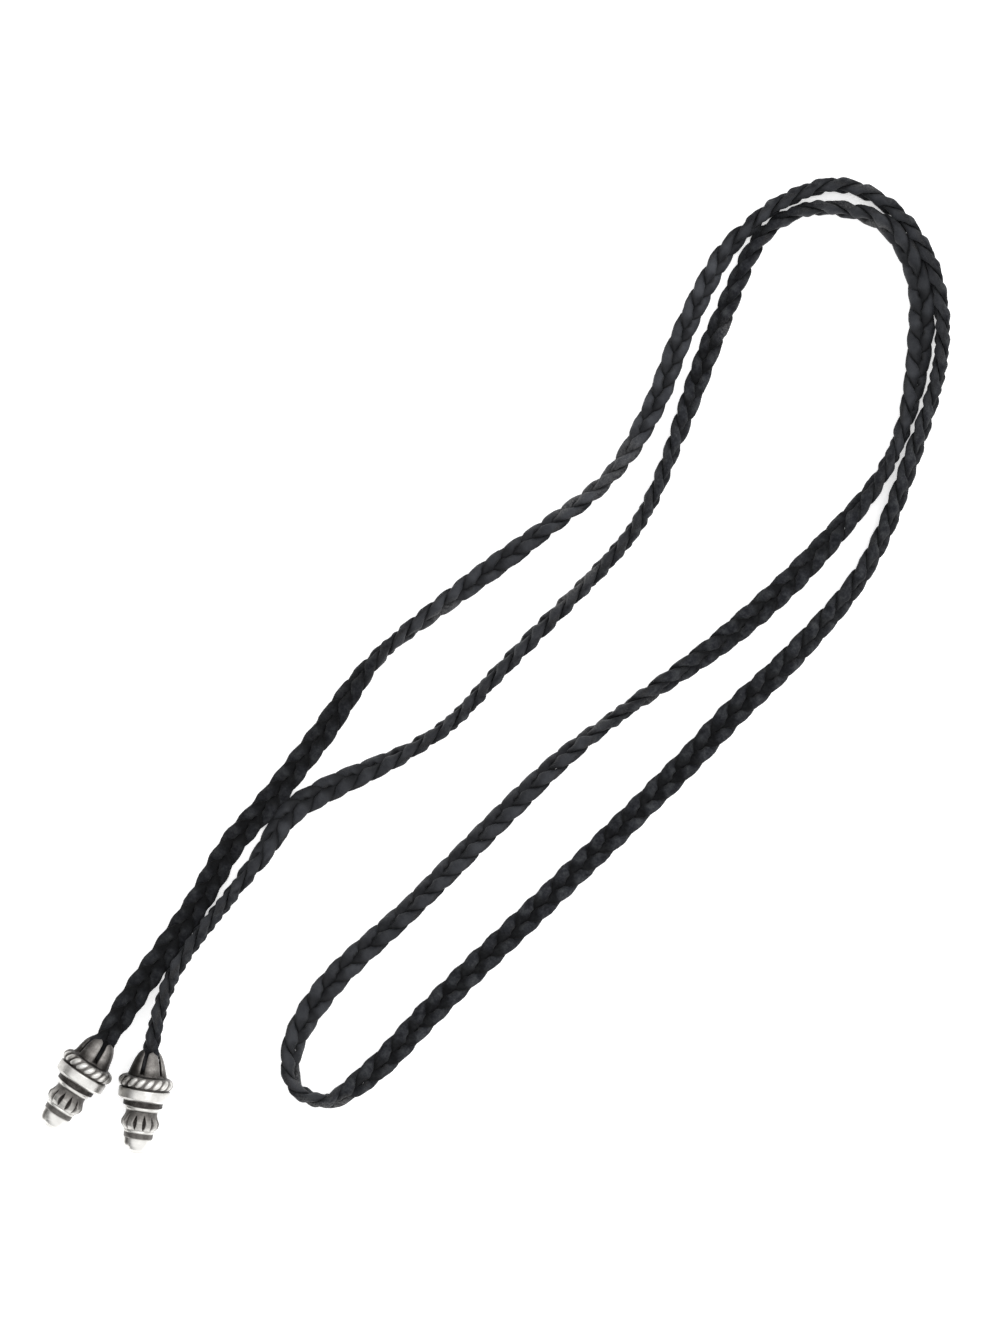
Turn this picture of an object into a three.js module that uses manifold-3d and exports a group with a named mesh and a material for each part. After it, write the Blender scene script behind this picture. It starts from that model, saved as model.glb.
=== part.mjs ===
// Braided leather lariat, laid doubled on a table: a flat plait of three laces
// with a cast silver cap on each end. Millimetres, +Z up, the table is z = 0.
import * as THREE from "three";
import { mergeVertices } from "three/addons/utils/BufferGeometryUtils.js";
import Module from "manifold-3d";

// The plait: outer size, length of one full turn of a lace, and sections modelled in that turn
const PLAIT_WIDTH = 5.6;
const PLAIT_THICKNESS = 2.9;
const LAY = 16.7;
const SECTIONS_PER_LAY = 6;
const LACE_COUNT = 3;

// One lace: its own section, how far it swings across the plait and lifts over the others,
// and how far its section leans as it passes under the next lace
const LACE_WIDTH = 1.78;
const LACE_THICKNESS = 0.74;
const SWING = 2.18;
const LIFT = 1.2;
const LEAN = THREE.MathUtils.degToRad(12);

// The leather is pressed flat where it rests on the table
const PRESSED = 0.22;

// The plait is pinched where it enters a cap, over these distances from the mouth
const PINCH = 0.52;
const PINCH_FULL_AT = 1.5;
const PINCH_NONE_AT = 8.0;
const SEATED_DEPTH = 3.8;

// Stretches that are plaited tighter: where they start and end along the cord,
// and their share of the usual width
const TIGHT_STRETCHES = [
  { from: 130, to: 233, width: 0.84 },
  { from: 816, to: 870, width: 0.84 },
];
const TIGHT_BLEND = 14;

// The plait comes down from a cap's mouth to the table over this length
const LIFT_OFF = 42.0;

// Caps: mouth of the socket, heading of the axis from mouth to dome seen from above, and turn of the claws.
// The dome end hangs a little lower than the mouth.
const CAP_TILT = 3;
const CAPS = [
  { name: "end_cap_a", x: -27.4, y: -116.6, heading: -83.0, clawTurn: -14 },
  { name: "end_cap_b", x: -18.0, y: -111.9, heading: -58.4, clawTurn: 16 },
];

// Cap outline from the mouth (along = 0) to the dome, with the relief cast on it and its height
const CAP_SEGMENTS = 36;
const ROPE_LOBES = 18;
const ROPE_ALONG = 6.75;
const ROPE_RADIUS = 6.15;
const ROPE_HEIGHT = 0.3;
const FLUTES = 12;
const SOCKET_OUTLINE = [
  { along: 5.4, radius: 0.0 },
  { along: 5.4, radius: 2.7 },
  { along: 2.6, radius: 2.5 },
  { along: 0.0, radius: 1.65 },
];
const CAP_OUTLINE = [
  { along: 0.0, radius: 1.98 },
  { along: 1.3, radius: 2.7 },
  { along: 3.0, radius: 3.46 },
  { along: 5.25, radius: 4.25 },
  { along: 5.45, radius: 5.1 },
  { along: ROPE_ALONG - 0.65, radius: ROPE_RADIUS - 0.4, relief: "rope", height: ROPE_HEIGHT },
  { along: ROPE_ALONG, radius: ROPE_RADIUS - ROPE_HEIGHT, relief: "rope", height: ROPE_HEIGHT },
  { along: ROPE_ALONG + 0.65, radius: ROPE_RADIUS - 0.4, relief: "rope", height: ROPE_HEIGHT },
  { along: 8.05, radius: 5.4 },
  { along: 8.15, radius: 5.78 },
  { along: 10.4, radius: 5.78 },
  { along: 10.85, radius: 5.0 },
  { along: 10.95, radius: 4.4 },
  { along: 12.15, radius: 4.4 },
  { along: 12.25, radius: 3.8 },
  { along: 13.0, radius: 3.8 },
  { along: 13.2, radius: 3.5 },
  { along: 14.1, radius: 3.6 },
  { along: 15.7, radius: 3.9, relief: "flute", height: 0.4 },
  { along: 17.3, radius: 3.25, relief: "flute", height: 0.35 },
  { along: 17.6, radius: 3.4 },
  { along: 18.0, radius: 3.4 },
  { along: 18.1, radius: 3.2 },
  { along: 19.2, radius: 3.2 },
  { along: 19.3, radius: 3.0 },
  { along: 20.6, radius: 2.85 },
  { along: 21.9, radius: 2.1 },
  { along: 22.8, radius: 0.0 },
];
const CLAW_COUNT = 5;
const CLAW_SLOT = { width: 0.8, depth: 4.9, past: 1.0, reach: 6.0, start: 0.6 };

// The plait's length is measured in this many steps between two rows of its route
const LENGTH_STEPS_PER_ROW = 40;

// The plait's route over the table, from cap a to cap b. roll turns the plait about its own line:
// 0 is face up, 90 stands it on its right edge.
const ROUTE = [
  { x: -29.1, y: -102.5, roll: 180 },
  { x: -31.8, y: -77.0, roll: 180 },
  { x: -33.65, y: -66.0, roll: 180 },
  { x: -33.8, y: -55.0, roll: 180 },
  { x: -34.2, y: -33.8, roll: 165 },
  { x: -35.4, y: -22.2, roll: 140 },
  { x: -35.6, y: -11.4, roll: 100 },
  { x: -31.0, y: 10.4, roll: 32 },
  { x: -26.0, y: 31.1, roll: -45 },
  { x: -22.0, y: 51.8, roll: -72 },
  { x: -24.4, y: 68.9, roll: -10 },
  { x: -30.3, y: 87.0, roll: 15 },
  { x: -34.4, y: 105.7, roll: 40 },
  { x: -33.9, y: 113.6, roll: 72 },
  { x: -32.4, y: 121.2, roll: 85 },
  { x: -25.2, y: 133.1, roll: 85 },
  { x: -12.2, y: 137.3, roll: 78 },
  { x: 3.2, y: 133.1, roll: 85 },
  { x: 16.5, y: 119.9, roll: 88 },
  { x: 26.4, y: 98.1, roll: 118 },
  { x: 34.5, y: 72.1, roll: 122 },
  { x: 34.7, y: 46.4, roll: 155 },
  { x: 32.9, y: 30.3, roll: 172 },
  { x: 31.9, y: 13.6, roll: 180 },
  { x: 28.4, y: -22.4, roll: 180 },
  { x: 24.4, y: -59.1, roll: 180 },
  { x: 22.2, y: -85.9, roll: 152 },
  { x: 18.8, y: -95.4, roll: 100 },
  { x: 11.6, y: -97.4, roll: 78 },
  { x: 5.6, y: -91.2, roll: 43 },
  { x: 2.9, y: -76.0, roll: 0 },
  { x: 5.7, y: -50.6, roll: -40 },
  { x: 8.7, y: -16.5, roll: -38 },
  { x: 10.4, y: -2.2, roll: -54 },
  { x: 13.5, y: 11.9, roll: -88 },
  { x: 21.3, y: 42.9, roll: -160 },
  { x: 24.4, y: 69.9, roll: -212 },
  { x: 23.2, y: 94.4, roll: -266 },
  { x: 13.4, y: 115.7, roll: -335 },
  { x: 1.9, y: 128.7, roll: -395 },
  { x: -11.5, y: 133.1, roll: -420 },
  { x: -25.3, y: 126.3, roll: -450 },
  { x: -30.3, y: 115.2, roll: -474 },
  { x: -25.4, y: 93.8, roll: -505 },
  { x: -15.9, y: 66.5, roll: -605 },
  { x: -12.1, y: 55.0, roll: -620 },
  { x: -10.2, y: 43.6, roll: -632 },
  { x: -12.1, y: 13.4, roll: -648 },
  { x: -13.1, y: -0.4, roll: -638 },
  { x: -13.8, y: -12.7, roll: -632 },
  { x: -16.7, y: -23.2, roll: -645 },
  { x: -20.9, y: -32.8, roll: -680 },
  { x: -25.25, y: -42.0, roll: -704 },
  { x: -28.05, y: -51.4, roll: -702 },
  { x: -27.2, y: -62.8, roll: -668 },
  { x: -26.7, y: -73.8, roll: -632 },
  { x: -24.6, y: -97.6, roll: -630 },
];

const wasm = await Module();
wasm.setup();

// Solid for cutting, from the positions of a closed geometry
function toSolid(geometry) {
  const bare = geometry.clone();
  bare.deleteAttribute("normal");
  bare.deleteAttribute("uv");
  const merged = mergeVertices(bare, 1e-4);
  const mesh = new wasm.Mesh({
    numProp: 3,
    vertProperties: new Float32Array(merged.attributes.position.array),
    triVerts: new Uint32Array(merged.index.array),
  });
  return new wasm.Manifold(mesh);
}

function toGeometry(solid) {
  const mesh = solid.getMesh();
  const geometry = new THREE.BufferGeometry();
  geometry.setAttribute("position", new THREE.BufferAttribute(mesh.vertProperties, mesh.numProp));
  geometry.setIndex(new THREE.BufferAttribute(mesh.triVerts, 1));
  geometry.computeVertexNormals();
  return geometry;
}

// Faces of a geometry turned to point the other way
function turnFaces(geometry) {
  const { index } = geometry;
  for (let corner = 0; corner < index.count; corner += 3) {
    const second = index.getX(corner + 1);
    index.setX(corner + 1, index.getX(corner + 2));
    index.setX(corner + 2, second);
  }
}

// Smooth step that falls from 1 at "from" to 0 at "to"
function fall(distance, from, to) {
  return 1 - THREE.MathUtils.smoothstep(distance, from, to);
}

// Cap axis, pointing from the mouth to the dome, and the height that seats the rope ring on the table
function capAxis(cap) {
  const heading = THREE.MathUtils.degToRad(cap.heading);
  const tilt = THREE.MathUtils.degToRad(CAP_TILT);
  return new THREE.Vector3(
    Math.cos(tilt) * Math.cos(heading),
    Math.cos(tilt) * Math.sin(heading),
    -Math.sin(tilt),
  );
}

function mouthHeight() {
  const tilt = THREE.MathUtils.degToRad(CAP_TILT);
  return ROPE_RADIUS * Math.cos(tilt) + ROPE_ALONG * Math.sin(tilt);
}

function capMouth(cap) {
  return new THREE.Vector3(cap.x, cap.y, mouthHeight());
}

// Centre line of the plait seen from above, from the seat in one cap to the seat in the other
function routeCurve() {
  const [start, end] = CAPS.map((cap) => {
    const mouth = capMouth(cap);
    const seat = mouth.clone().addScaledVector(capAxis(cap), SEATED_DEPTH);
    return { mouth, seat };
  });
  const flat = (point) => new THREE.Vector3(point.x, point.y, 0);
  const points = [flat(start.seat), flat(start.mouth)];
  ROUTE.forEach((row) => points.push(flat(row)));
  points.push(flat(end.mouth), flat(end.seat));
  const curve = new THREE.CatmullRomCurve3(points, false, "centripetal");
  curve.arcLengthDivisions = points.length * LENGTH_STEPS_PER_ROW;
  const first = ROUTE[0].roll;
  const last = ROUTE[ROUTE.length - 1].roll;
  const rolls = [first, first, ...ROUTE.map((row) => row.roll), last, last];
  return { curve, rolls, length: curve.getLength() };
}

const route = routeCurve();

// Share of the plait's usual width at a distance along the route
function tightAt(distance) {
  return TIGHT_STRETCHES.reduce((share, { from, to, width }) => {
    const inside = fall(from - distance, 0, TIGHT_BLEND) * fall(distance - to, 0, TIGHT_BLEND);
    return share - (1 - width) * inside;
  }, 1);
}

// Centre, directions and width of the plait at a distance along the route
function plaitAt(distance) {
  const t = route.curve.getUtoTmapping(0, THREE.MathUtils.clamp(distance, 0, route.length));
  const centre = route.curve.getPoint(t);
  const span = Math.min(t, 1 - 1e-9) * (route.rolls.length - 1);
  const row = Math.floor(span);
  const roll = THREE.MathUtils.degToRad(
    THREE.MathUtils.lerp(route.rolls[row], route.rolls[row + 1], span - row),
  );
  const fromMouth = Math.min(distance, route.length - distance) - SEATED_DEPTH;
  const pinch = 1 - (1 - PINCH) * fall(fromMouth, PINCH_FULL_AT, PINCH_NONE_AT);
  const tight = tightAt(distance);
  const halfHeight = Math.hypot(
    (PLAIT_THICKNESS / 2) * Math.cos(roll),
    tight * (PLAIT_WIDTH / 2) * Math.sin(roll),
  );
  const resting = halfHeight - PRESSED;
  centre.z = THREE.MathUtils.lerp(resting, mouthHeight(), fall(fromMouth, 0, LIFT_OFF));
  const tangent = route.curve.getTangent(t);
  const left = new THREE.Vector3(-tangent.y, tangent.x, 0).normalize();
  const up = new THREE.Vector3(0, 0, 1);
  const across = left.clone().multiplyScalar(Math.cos(roll)).addScaledVector(up, Math.sin(roll));
  const through = up.clone().multiplyScalar(Math.cos(roll)).addScaledVector(left, -Math.sin(roll));
  return { centre, across, through, pinch, tight };
}

// Middle of one lace at a distance along the route: it swings from edge to edge once in a lay
// and passes over and under twice
function laceMiddle(distance, phase) {
  const plait = plaitAt(distance);
  const middle = plait.centre.clone();
  middle.addScaledVector(plait.across, plait.pinch * plait.tight * SWING * Math.sin(phase));
  middle.addScaledVector(plait.through, plait.pinch * LIFT * Math.sin(2 * phase));
  return middle;
}

// A lace as a closed ribbon of four-sided sections, pressed flat where it rests on the table
function laceGeometry(lace) {
  const sections = Math.round((route.length / LAY) * SECTIONS_PER_LAY);
  const step = route.length / sections;
  const phaseAt = (distance) => {
    const turns = distance / (step * SECTIONS_PER_LAY);
    return 2 * Math.PI * (turns + lace / LACE_COUNT);
  };
  const positions = [];
  const index = [];
  const nudge = step / 50;
  for (let section = 0; section <= sections; section += 1) {
    const distance = section * step;
    const phase = phaseAt(distance);
    const plait = plaitAt(distance);
    const middle = laceMiddle(distance, phase);
    const ahead = laceMiddle(distance + nudge, phaseAt(distance + nudge));
    const behind = laceMiddle(distance - nudge, phaseAt(distance - nudge));
    const along = ahead.sub(behind).normalize();
    const lean = LEAN * Math.cos(3 * phase);
    const wide = plait.across.clone().multiplyScalar(Math.cos(lean));
    wide.addScaledVector(plait.through, Math.sin(lean));
    wide.addScaledVector(along, -wide.dot(along)).normalize();
    const thick = new THREE.Vector3().crossVectors(along, wide);
    const halfWide = (plait.pinch * plait.tight * LACE_WIDTH) / 2;
    const halfThick = (plait.pinch * LACE_THICKNESS) / 2;
    for (const [side, face] of [[1, -1], [1, 1], [-1, 1], [-1, -1]]) {
      const corner = middle.clone();
      corner.addScaledVector(wide, side * halfWide);
      corner.addScaledVector(thick, face * halfThick);
      positions.push(corner.x, corner.y, Math.max(corner.z, 0));
    }
  }
  for (let section = 0; section < sections; section += 1) {
    for (let side = 0; side < 4; side += 1) {
      const here = section * 4 + side;
      const next = section * 4 + ((side + 1) % 4);
      index.push(here, next, next + 4, here, next + 4, here + 4);
    }
  }
  const tail = sections * 4;
  index.push(0, 2, 1, 0, 3, 2, tail, tail + 1, tail + 2, tail, tail + 2, tail + 3);
  const geometry = new THREE.BufferGeometry();
  geometry.setAttribute("position", new THREE.Float32BufferAttribute(positions, 3));
  geometry.setIndex(index);
  geometry.computeVertexNormals();
  return geometry;
}

// Cap as a turned form about its own +Y, with the rope lobes and flutes raised on it.
// The outline runs from dome to mouth, so that the lobes rise to the right as seen with the dome down.
function capBody() {
  const outline = [...SOCKET_OUTLINE, ...CAP_OUTLINE].reverse();
  const profile = outline.map((row) => new THREE.Vector2(row.radius, row.along));
  const body = new THREE.LatheGeometry(profile, CAP_SEGMENTS);
  const position = body.attributes.position;
  const ropeStart = outline.findIndex((row) => row.relief === "rope");
  for (let vertex = 0; vertex < position.count; vertex += 1) {
    const row = vertex % outline.length;
    const segment = Math.floor(vertex / outline.length);
    const { radius, relief, height } = outline[row];
    if (relief) {
      const slant = relief === "rope" ? row - ropeStart : 0;
      const pitch = CAP_SEGMENTS / (relief === "rope" ? ROPE_LOBES : FLUTES);
      const raised = (segment + slant) % pitch !== 0;
      const grow = raised ? 1 + height / radius : 1;
      position.setX(vertex, position.getX(vertex) * grow);
      position.setZ(vertex, position.getZ(vertex) * grow);
    }
  }
  turnFaces(body);
  return toSolid(body);
}

function clawSlots(turn) {
  const cuts = [];
  for (let claw = 0; claw < CLAW_COUNT; claw += 1) {
    const { width, depth, past, reach, start } = CLAW_SLOT;
    const cut = new THREE.BoxGeometry(width, depth + past, reach);
    cut.translate(0, (depth - past) / 2, start + reach / 2);
    cut.rotateY(THREE.MathUtils.degToRad(turn) + (claw * 2 * Math.PI) / CLAW_COUNT);
    cuts.push(toSolid(cut));
  }
  return cuts;
}

function capMesh(cap, material) {
  let solid = capBody();
  clawSlots(cap.clawTurn).forEach((cut) => {
    solid = solid.subtract(cut);
  });
  const mesh = new THREE.Mesh(toGeometry(solid), material);
  const along = capAxis(cap);
  const side = new THREE.Vector3().crossVectors(along, new THREE.Vector3(0, 0, 1)).normalize();
  const top = new THREE.Vector3().crossVectors(side, along);
  mesh.matrix.makeBasis(side, along, top).setPosition(capMouth(cap));
  mesh.matrix.decompose(mesh.position, mesh.quaternion, mesh.scale);
  mesh.name = cap.name;
  return mesh;
}

const leather = new THREE.MeshStandardMaterial({ color: 0x232224, roughness: 0.75, metalness: 0 });
const silver = new THREE.MeshStandardMaterial({ color: 0xb9b5ad, roughness: 0.32, metalness: 1 });

const lariat = new THREE.Group();
for (let lace = 0; lace < LACE_COUNT; lace += 1) {
  const mesh = new THREE.Mesh(laceGeometry(lace), leather);
  mesh.name = `strand_${lace + 1}`;
  lariat.add(mesh);
}
CAPS.forEach((cap) => lariat.add(capMesh(cap, silver)));

export default lariat;
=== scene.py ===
"""Looks of a lariat neck cord: black leather laces plaited flat, a cast silver cap on each end.

Everything is in metres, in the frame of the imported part: the necklace lies on z = 0, and +Y points
from the caps to the top bend. Only the outlines and reliefs of the caps are written in millimetres.

The route is the one that the solids follow, and the solids stay clear of each other. Here the laces
have their full width, and of two legs that touch, each is drawn up to 0.32 mm towards the other.
"""

import math

import bpy
import numpy as np
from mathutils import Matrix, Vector


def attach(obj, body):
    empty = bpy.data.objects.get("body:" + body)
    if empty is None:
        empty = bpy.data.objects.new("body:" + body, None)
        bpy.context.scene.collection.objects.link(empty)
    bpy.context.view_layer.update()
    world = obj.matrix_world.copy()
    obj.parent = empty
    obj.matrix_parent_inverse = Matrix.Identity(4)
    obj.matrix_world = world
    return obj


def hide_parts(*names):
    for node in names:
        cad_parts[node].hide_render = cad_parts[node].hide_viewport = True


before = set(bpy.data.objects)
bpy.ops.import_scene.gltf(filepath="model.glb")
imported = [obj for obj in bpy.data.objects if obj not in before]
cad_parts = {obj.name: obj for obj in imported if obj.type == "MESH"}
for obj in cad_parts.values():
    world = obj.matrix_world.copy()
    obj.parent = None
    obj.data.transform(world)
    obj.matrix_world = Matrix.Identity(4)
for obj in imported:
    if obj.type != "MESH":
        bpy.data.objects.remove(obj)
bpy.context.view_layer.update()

MM = 0.001

# Route of the plait's middle on the table: x and y in metres, roll of the plait in degrees.
# At roll 0 the grain side faces up, at 180 the suede side, and at 90 the plait stands on its edge.
ROUTE = [
    (-0.0291, -0.1025, 180),
    (-0.0318, -0.0770, 180),
    (-0.03365, -0.0660, 180),
    (-0.0338, -0.0550, 180),
    (-0.0342, -0.0338, 165),
    (-0.0354, -0.0222, 140),
    (-0.0356, -0.0114, 100),
    (-0.0310, 0.0104, 32),
    (-0.0260, 0.0311, -45),
    (-0.0220, 0.0518, -72),
    (-0.0244, 0.0689, -10),
    (-0.0303, 0.0870, 15),
    (-0.0344, 0.1057, 40),
    (-0.0339, 0.1136, 72),
    (-0.0324, 0.1212, 85),
    (-0.0252, 0.1331, 85),
    (-0.0122, 0.1373, 78),
    (0.0032, 0.1331, 85),
    (0.0165, 0.1199, 88),
    (0.0264, 0.0981, 118),
    (0.0345, 0.0721, 122),
    (0.0347, 0.0464, 155),
    (0.0329, 0.0303, 172),
    (0.0319, 0.0136, 180),
    (0.0284, -0.0224, 180),
    (0.0244, -0.0591, 180),
    (0.0222, -0.0859, 152),
    (0.0188, -0.0954, 100),
    (0.0116, -0.0974, 78),
    (0.0056, -0.0912, 43),
    (0.0029, -0.0760, 0),
    (0.0057, -0.0506, -40),
    (0.0087, -0.0165, -38),
    (0.0104, -0.0022, -54),
    (0.0135, 0.0119, -88),
    (0.0213, 0.0429, -160),
    (0.0244, 0.0699, -212),
    (0.0232, 0.0944, -266),
    (0.0134, 0.1157, -335),
    (0.0019, 0.1287, -395),
    (-0.0115, 0.1331, -420),
    (-0.0253, 0.1263, -450),
    (-0.0303, 0.1152, -474),
    (-0.0254, 0.0938, -505),
    (-0.0159, 0.0665, -605),
    (-0.0121, 0.0550, -620),
    (-0.0102, 0.0436, -632),
    (-0.0121, 0.0134, -648),
    (-0.0131, -0.0004, -638),
    (-0.0138, -0.0127, -632),
    (-0.0167, -0.0232, -645),
    (-0.0209, -0.0328, -680),
    (-0.02525, -0.0420, -704),
    (-0.02805, -0.0514, -702),
    (-0.0272, -0.0628, -668),
    (-0.0267, -0.0738, -632),
    (-0.0246, -0.0976, -630),
]

# Places of the curve from one row of the route to the next
ROUTE_STEPS = 80

# Caps: the mouth's place, the heading from mouth to dome and the turn of the claws about the axis,
# both in degrees, how many times wider than high the ring of claw tips is, how many millimetres
# along the axis the dome's painted dark reflection ends, and the first seed of the casting's
# unevenness
CAP_A = {
    "x": -0.0274,
    "y": -0.1166,
    "heading": -83.0,
    "claw_turn": -14.0,
    "mouth_spread": 1.26,
    "reflection_end": 22.2,
    "seed": 200,
}
CAP_B = {
    "x": -0.0180,
    "y": -0.1119,
    "heading": -58.4,
    "claw_turn": 16.0,
    "mouth_spread": 1.12,
    "reflection_end": 21.4,
    "seed": 300,
}

# A cap's dome hangs lower than its mouth, and its rope ring rests on the table
CAP_TILT = math.radians(3.0)
ROPE_ALONG = 6.75 * MM
ROPE_RADIUS = 6.15 * MM
MOUTH_HEIGHT = ROPE_RADIUS * math.cos(CAP_TILT) + ROPE_ALONG * math.sin(CAP_TILT)

# The plait
LAY = 16.68 * MM  # length of one full turn of a lace
PLAIT_HALF_WIDTH = 2.80 * MM
PLAIT_HALF_THICKNESS = 1.45 * MM
PRESSED = 0.22 * MM  # how far it is pressed flat where it rests
SEATED_DEPTH = 3.8 * MM  # how deep its ends stand in the caps
LIFT_OFF = 42 * MM  # distance from a mouth at which it has come down to the table

# Pinch of the mouths: shares of its usual width and thickness that the plait has in caps a and b
PINCH_BETWEEN = (0.2 * MM, 7.5 * MM)  # distance from the mouth, from all of it to none
PINCH_ACROSS = (0.84, 0.57)
PINCH_THROUGH = (1.0, 1.22)

# Swelling of the plait inside a mouth, where it fills the socket
FILL_BETWEEN = (-0.6 * MM, 1.6 * MM)  # inwards from the mouth, from none of it to all
FILL_ACROSS = 0.20  # what it adds to the width
FILL_THROUGH = 0.32  # what it adds to the thickness

# Stretches that are plaited tighter: where they start and end along the cord, and their share of
# the usual width
TIGHT_STRETCHES = [(123 * MM, 240 * MM, 0.84), (809 * MM, 877 * MM, 0.84)]
TIGHT_BLEND = 7 * MM

# Stretches where two legs press together: where they start and end, and how far the plait is drawn
# to its left
DRAWN_STRETCHES = [
    (23 * MM, 42 * MM, -0.22 * MM),
    (64 * MM, 75 * MM, -0.32 * MM),
    (271 * MM, 298 * MM, -0.32 * MM),
    (765 * MM, 793 * MM, -0.32 * MM),
    (984 * MM, 995 * MM, -0.32 * MM),
    (1016 * MM, 1034 * MM, -0.22 * MM),
]
DRAWN_BLEND = 6 * MM

# Stretches that are darker or lighter than the rest: their start, their end and how light they are
TONED_STRETCHES = [(-10 * MM, 113 * MM, 0.70), (159 * MM, 228 * MM, 1.35)]
TONE_BLEND = 5 * MM

# Pale spots, partly rubbed to a fuzz and partly painted highlight: where they start and end, the
# flank (1 left, -1 right, 0 both) and how pale they are
FUZZ_AND_HIGHLIGHT_SPOTS = [
    (122 * MM, 130 * MM, -1, 0.6),
    (159 * MM, 168 * MM, 1, 0.8),
    (168 * MM, 184 * MM, 0, 0.45),
    (264 * MM, 269 * MM, 1, 0.5),
    (524 * MM, 534 * MM, 1, 1.0),
    (536 * MM, 540 * MM, -1, 0.6),
    (641 * MM, 646 * MM, 1, 0.6),
    (655 * MM, 659 * MM, -1, 0.5),
    (787 * MM, 792 * MM, 1, 0.9),
    (796 * MM, 804 * MM, -1, 0.5),
    (838 * MM, 842 * MM, 1, 0.6),
    (901 * MM, 914 * MM, -1, 0.9),
]
SPOT_BLEND = 2 * MM
FLANK_BETWEEN = (-0.3 * MM, 1.2 * MM)  # distance from the plait's middle, from none of it to all

# A lace. Swing, pass and lean each have the sizes of a slow wave and of a quick one
LACES = 3
LACE_WIDTH = 2.95 * MM
LACE_THICKNESS = 1.29 * MM
SECTION_POWER = 2.2  # 2 is an oval, and more is squarer
SWING = (1.79 * MM, 0.116 * MM)  # across the plait
PASS = (0.84 * MM, 0.08 * MM)  # over and under the other laces
LEAN = (0.14, 0.685)  # in radians
SPREAD_AT_EDGE = -0.08  # how much wider it is at the plait's edge; below 0 it is narrower
PUFF_AT_EDGE = 0.50  # how much thicker it is there
SECTIONS_PER_LAY = 52
SIDES = 24

# Unevenness of the handwork: size, spacing along the cord and seed of each random line. The laces
# share the drifts, and each lace has wobbles of its own
PHASE_DRIFT = (0.10, 31 * MM, 11)
WIDTH_DRIFT = (0.04, 24 * MM, 12)
PHASE_WOBBLE = (0.05, 9 * MM, 20)
LEAN_WOBBLE = (0.04, 7 * MM, 40)
SPREAD_WOBBLE = (0.035, 5 * MM, 50)
PUFF_WOBBLE = (0.05, 4 * MM, 60)
SHADE_WOBBLE = (0.18, 6 * MM, 90)

# Roughness of a lace. A random field has a step along the lace, a number of steps round it, a seed
GRAIN_HEIGHT = 0.030 * MM
SUEDE_HEIGHT = 0.045 * MM  # what the suede side adds
ROUGH_FIELD = (0.7 * MM, 8, 70)
RAGGED_HEIGHT = 0.08 * MM  # on the cut edges
RAGGED_FIELD = (0.55 * MM, 4, 80)

# Parts of a lace
SIDE_BETWEEN = (-0.2, 0.6)  # share of the way to a side's face, from none of its look to all
OPEN_BETWEEN = (0.4, 0.9)  # squared sine of the phase, from a hidden cut edge to an open one
EDGE_POWER = 6  # makes the cut edge narrow
COVERED_POWER = 4  # makes the strip narrow that other laces cover

# Painted shade in the creases between the laces, where a lace tucks under and where others cover its
# edges
TUCK_BETWEEN = (0.42, 0.86)  # squared cosine of the phase, as a lace tucks under
TUCK_PAINTED_SHADE = 0.62
TUCK_SHADE_MORE_ON_SUEDE = 0.12
COVER_BETWEEN = (0.10, 0.50)  # squared cosine of the phase, as other laces cover its edges
COVER_PAINTED_SHADE = 0.60
CREASE_SHADE_ON_EDGE = 0.42  # share of the painted shade that is left where the plait stands on its edge

# The camera, framed as the photograph is
VIEW_CENTRE = (-0.01358, 0.00329)
VIEW_TURN = math.radians(40.0)
VIEW_HEIGHT = 0.2962  # of what it sees on the table
CAMERA_DISTANCE = 2.0
CAMERA_REACH = 50.0  # nothing further away is drawn
SENSOR = 36.0  # in millimetres

# Directions that the picture shows to the right and upwards, and the direction towards the camera
RIGHT = Vector((math.cos(VIEW_TURN), math.sin(VIEW_TURN), 0.0))
AHEAD = Vector((-math.sin(VIEW_TURN), math.cos(VIEW_TURN), 0.0))
UP = Vector((0.0, 0.0, 1.0))

# Heights that a random line or field has beyond the whole steps of its length
SPARE_KNOTS = 3


def smoothstep(x, low, high):
    """Goes from 0 at low to 1 at high."""
    t = np.clip((x - low) / (high - low), 0.0, 1.0)
    return t * t * (3.0 - 2.0 * t)


def within(distance, start, end, blend):
    """1 between start and end, going to 0 over a blend that is centred on each of them."""
    entered = smoothstep(distance, start - blend, start + blend)
    left_behind = smoothstep(distance, end - blend, end + blend)
    return entered * (1.0 - left_behind)


def wander(distance, spacing, seed):
    """A smooth random line between -1 and 1 along a distance, with a new height every spacing."""
    knots = int(np.max(distance) / spacing) + SPARE_KNOTS
    heights = np.random.default_rng(seed).uniform(-1.0, 1.0, knots)
    place = distance / spacing
    knot = np.floor(place).astype(int)
    share = smoothstep(place - knot, 0.0, 1.0)
    return heights[knot] * (1.0 - share) + heights[knot + 1] * share


def uneven(distance, line, lace=0):
    """One of the random lines of the handwork, for all laces or for one of them."""
    size, spacing, seed = line
    return size * wander(distance, spacing, seed + lace)


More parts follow.
